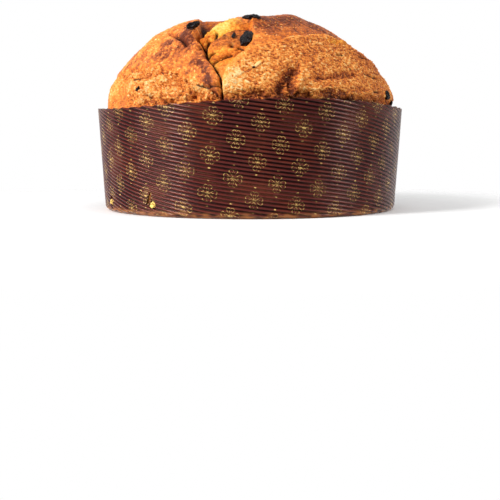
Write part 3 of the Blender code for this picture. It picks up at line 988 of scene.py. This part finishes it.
def rosette(tree, x, y):
    # eight-fold: out runs along the nearest petal, off is the distance beside its middle line
    size = printForm
    wide, tall = calc(tree, "ABSOLUTE", x), calc(tree, "ABSOLUTE", times(tree, y, 1.06))
    out, off = calc(tree, "MAXIMUM", wide, tall), calc(tree, "MINIMUM", wide, tall)
    middle, side = size["petalMiddle"]
    dx, dy = less(tree, out, middle), less(tree, off, side)
    far = calc(tree, "SQRT", calc(tree, "ADD", times(tree, dx, dx), times(tree, dy, dy)))
    slope = math.radians(size["petalSlope"])
    edge = less(tree, times(tree, off, math.cos(slope)), times(tree, less(tree, out, 0.8), math.sin(slope)))
    petal = calc(tree, "MINIMUM", less(tree, far, size["petalRound"]), calc(tree, "MAXIMUM", edge, dx))
    vein = calc(tree, "MAXIMUM", calc(tree, "ABSOLUTE", less(tree, off, 0.5)),
                less(tree, calc(tree, "ABSOLUTE", less(tree, out, 3.0)), 0.5))
    heart = calc(tree, "MAXIMUM", times(tree, wide, 0.6), tall)
    above = less(tree, calc(tree, "ABSOLUTE", y), size["dotsAt"])
    dot = calc(tree, "MAXIMUM", times(tree, wide, 0.6), calc(tree, "ABSOLUTE", above))
    ink = inkLine(tree, calc(tree, "ABSOLUTE", petal), size["line"])
    for part, reach in ((vein, size["line"]), (heart, size["heart"]), (dot, size["dot"])):
        ink = calc(tree, "MAXIMUM", ink, inkLine(tree, part, reach))
    return ink


def inkLine(tree, distance, reach):
    # 1 nearer than reach, with a soft edge
    return spread(tree, distance, reach - 0.10, reach + 0.10, 1.0, 0.0)


def paperMaterial():
    material, tree, shader = newMaterial("brown baking paper")
    size, finish = printForm, paperFinish
    place, valley = inMillimetres(tree), stored(tree, "valley")
    # rosettes stand at the corners and in the middle of each cell of the print
    masks = []
    for share in (0, 1):
        cell = []
        for name, half in (("printAcross", size["halfAcross"]), ("printUp", size["halfUp"])):
            moved = calc(tree, "ADD", stored(tree, name), share * half)
            cell.append(calc(tree, "WRAP", moved, -half, half))
        masks.append(rosette(tree, *cell))
    inked = calc(tree, "MAXIMUM", *masks)
    # the gold fades into painted shade in the valleys and is gone where the paper is gritty
    flat = less(tree, 1.0, times(tree, valley, 0.9))
    for share in (flat, spread(tree, noise(tree, place, 0.9, 2, 0.7), 0.40, 0.54), stored(tree, "outside")):
        inked = times(tree, inked, share)
    # painted shade: the colour darkens into the flutes' valleys
    tone = calc(tree, "ADD", valley, times(tree, less(tree, noise(tree, place, 6, 4), 0.42), 0.4))
    # butter has soaked in here and there and turned the paper redder
    soak = spread(tree, noise(tree, place, 22, 5, 0.7), 0.45, 0.65)
    colour = blendColour(tree, soak, ramp(tree, tone, finish["plain"]), ramp(tree, tone, finish["soaked"]))
    colour = blendColour(tree, stored(tree, "outside"), finish["inside"], colour)
    colour = blendColour(tree, stored(tree, "scuff"), colour, finish["scuffed"])
    gloss = spread(tree, noise(tree, place, 3, 3), 0.3, 0.7, *finish["roughness"])
    fibres = noise(tree, inMillimetres(tree, (1, 1, 0.3)), 0.5, 3, 0.7)
    plug(tree, shader, {
        "Base Color": blendColour(tree, inked, colour, finish["gold"]),
        "Specular IOR Level": finish["shine"],
        "Specular Tint": finish["sheen"],
        "Roughness": calc(tree, "ADD", gloss, times(tree, valley, 0.3)),
        "Normal": bump(tree, fibres, 0.12, 0.1),
    })
    return material


# Tears where two skewers went in at the left and came out at the back right

tearForms = {  # turn from the front and height, width and height of the hole in mm, lean in degrees
    "tear_1": (-62.8, 7.0, 3.8, 9.6, 4),
    "tear_2": (-35.6, 7.4, 5.6, 5.6, 0),
    "tear_2_slit": (-37.3, 11.2, 2.6, 8.8, -24),
    "tear_3": (117.4, 7.2, 4.0, 5.0, 0),
    "tear_4": (144.6, 7.6, 3.6, 5.6, 10),
}


def tearAxes(turn, lean):
    outwards = around(turn, 1, 0)
    tilt = Matrix.Rotation(math.radians(lean), 3, outwards)
    return tilt @ around(turn + math.pi / 2, 1, 0), tilt @ Vector((0, 0, 1)), outwards


def makeTearCutters():
    cutters = bpy.data.collections.new("skewer tears")
    bpy.context.scene.collection.children.link(cutters)
    for seed, (name, (turn, z, wide, tall, lean)) in enumerate(tearForms.items()):
        turn = math.radians(turn)
        centre, sizes = around(turn, caseRadius(z) - 0.9, z), (wide, tall, 7)
        mesh = lumpMesh(name, centre, tearAxes(turn, lean), sizes, 4, (0.5, 1.6, 2), seed)
        cutters.objects.link(bpy.data.objects.new(name, mesh))
    return cutters


def makeTearCrumbs(material):
    for seed, (name, (turn, z, wide, tall, lean)) in enumerate(tearForms.items()):
        if "slit" in name:
            continue
        turn = math.radians(turn)
        centre, sizes = around(turn, caseRadius(z) - 1.9, z + 0.2), (wide - 0.8, min(wide, tall - 1.6), 5.2)
        mesh = lumpMesh("crumbIn_" + name, centre, tearAxes(turn, 0), sizes, 5, (1.7, 2.8, 3), 20 + seed)
        storeCrust(mesh, crumb=1, golden=1.05, coarse=0.6)
        newPiece("crumbIn_" + name, mesh, material, ["loaf"])


# Raisins: map place, length, width and thickness in mm, lean in degrees, and how far out

raisinForms = {
    "raisin_1": ((-1.2, 49.2), (14.2, 8.4, 7.8), 18, 1.2),
    "raisin_2": ((0.6, 33.6), (12.8, 6.4, 3.4), 84, 0.7),
    "raisin_3": ((-20.7, 38.4), (10.2, 4.8, 4.2), 46, 2.0),
    "raisin_4": ((70.0, 32.0), (7.0, 6.0, 4.6), 10, 0.6),
    "raisin_5": ((26.0, -44.0), (11.0, 8.0, 6.6), 70, 0.4),
    "raisin_6": ((-36.0, -40.0), (9.0, 6.6, 5.4), 20, 0.8),
    "smallRaisin_1": ((-6.2, 46.4), (6.4, 2.6, 4.0), 8, 0.5),
    "smallRaisin_2": ((77.0, 22.5), (4.4, 3.6, 3.4), 0, 0.3),
    "smallRaisin_3": ((-52.2, 56.2), (4.0, 2.8, 3.0), 30, 0.1),
    "smallRaisin_4": ((10.0, -66.0), (5.0, 3.2, 3.4), 45, 0.3),
}


def makeRaisins(material):
    for seed, (name, (place, sizes, lean, lift)) in enumerate(raisinForms.items()):
        small = name.startswith("small")
        point, axes = crustFrame(place, lean)
        mesh, ball = ballMesh(name, 5 if small else 6)
        full = ball * np.array(sizes)
        # deep folds along it, fine wrinkles across them
        folds = np.abs(layered(full * np.array([0.45, 1, 1]), 2.6, 2, 60 + seed))
        wrinkles = np.abs(grain(full * np.array([0.8, 1, 1]), 0.9, 80 + seed))
        full += 1.6 * ball * (-0.9 + 2.4 * folds + 0.5 * wrinkles)[:, None].clip(-0.9, 0.5)
        placePoints(mesh, full, point + axes[2] * lift, axes)
        store(mesh, fold=np.clip(folds * 2.5, 0, 1))
        if small:
            newPiece(name, mesh, material, ["loaf"])
        else:
            newPiece("wrinkled_" + name, mesh, material, [name])


raisinFinish = {
    # darker down in the folds: painted shade
    "colour": (  # from the folds' bottoms to their ridges
        (0.0, (0.002, 0.001, 0.002)),
        (0.4, (0.006, 0.003, 0.004)),
        (0.9, (0.030, 0.014, 0.012)),
    ),
    "shine": 0.22,
    "roughness": 0.28,
}


def raisinMaterial():
    material, tree, shader = newMaterial("dried raisin")
    place = inMillimetres(tree)
    # painted shade: darker down in the folds
    tone = times(tree, stored(tree, "fold"), noise(tree, place, 1.6, 3))
    plug(tree, shader, {
        "Base Color": ramp(tree, tone, raisinFinish["colour"]),
        "Specular IOR Level": raisinFinish["shine"],
        "Roughness": raisinFinish["roughness"],
        "Normal": bump(tree, noise(tree, place, 0.5, 3, 0.6), 0.5, 0.2),
    })
    return material


# Stage: pale floor, soft light, and a camera at the photo's angle

view = {
    "distance": 0.54567,
    "height": 0.03962,
    "pitch": 7.5,
    "focalPixels": 735.4,
    "pictureWidth": 500,
    "floorFade": (0.16, 0.34),  # metres from the middle where the floor starts and ends its fade
}

lights = {
    "sweep": (0.06, 0.46, 0.62),  # level with the front, straight above, and behind
    "aim": (0, 0, 0.07),
    "lamps": {  # turn from the front and rise in degrees, distance from the aim, size in m, watts
        "key": (-49, 34, 1.1, (0.22, 0.22), 10.6),
        "card": (-68, 9, 1.1, (0.6, 0.25), 7.0),
        "fill": (75, 20, 1.2, (0.5, 0.5), 8.0),
        "top": (20, 72, 1.1, (0.5, 0.5), 2.5),
    },
}


def makeCamera():
    data = bpy.data.cameras.new("camera")
    data.sensor_width = 36
    data.lens = data.sensor_width * view["focalPixels"] / view["pictureWidth"]
    data.clip_start = 0.01
    camera = newObject("camera", data)
    camera.location = (0, -view["distance"], view["height"])
    camera.rotation_euler = (math.radians(90 - view["pitch"]), 0, 0)
    bpy.context.scene.camera = camera


def makeFloor():
    shape = bmesh.new()
    bmesh.ops.create_grid(shape, x_segments=4, y_segments=4, size=6)
    floor = newObject("floor", meshOf(shape, "floor"))
    material, tree, shader = newMaterial("pale floor")
    # its far side melts into the white sweep
    place = put(tree, "ShaderNodeTexCoord").outputs["Object"]
    reach = put(tree, "ShaderNodeVectorMath", {0: place}, operation="LENGTH").outputs["Value"]
    shown = spread(tree, reach, *view["floorFade"], 1.0, 0.0)
    plug(tree, shader, {"Base Color": (0.9, 0.9, 0.9, 1), "Roughness": 0.8, "Alpha": shown})
    floor.data.materials.append(material)


def makeSweep():
    world = bpy.data.worlds.new("soft studio")
    bpy.context.scene.world = world
    world.use_nodes = True
    tree = world.node_tree
    # the white sweep looks brighter than the light it gives, most of which comes from above
    place = put(tree, "ShaderNodeTexCoord").outputs["Generated"]
    way = put(tree, "ShaderNodeSeparateXYZ", {"Vector": place})
    low, high, behind = lights["sweep"]
    above = spread(tree, way.outputs["Z"], 0.0, 1.0, low, high)
    screen = spread(tree, way.outputs["Y"], 0.1, 0.7, 0.0, behind)
    seen = put(tree, "ShaderNodeLightPath").outputs["Is Camera Ray"]
    strength = calc(tree, "MAXIMUM", calc(tree, "MAXIMUM", above, screen), seen)
    plug(tree, tree.nodes["Background"], {"Color": (1, 1, 1, 1), "Strength": strength})


def makeLamps():
    aim = Vector(lights["aim"])
    for name, (turn, rise, distance, size, power) in lights["lamps"].items():
        data = bpy.data.lights.new(name, "AREA")
        data.shape = "RECTANGLE"
        data.size, data.size_y = size
        data.energy = power
        lamp = newObject(name, data)
        turn, rise = math.radians(turn), math.radians(rise)
        lamp.location = aim + around(turn, distance * math.cos(rise), distance * math.sin(rise))
        lamp.rotation_euler = (aim - lamp.location).to_track_quat("-Z", "Y").to_euler()


crust = crustMaterial()
makeLoaf(crust)
print("loaf made")
makeTearCrumbs(crust)
makeFlakes(crust)
makeAlmondSliver(crust)
makeRaisins(raisinMaterial())
print("crumb, flakes and raisins made")
makeCase(paperMaterial(), makeTearCutters())
print("paper case made")
makeCamera()
makeFloor()
makeSweep()
makeLamps()
bpy.context.scene.view_settings.view_transform = "Standard"
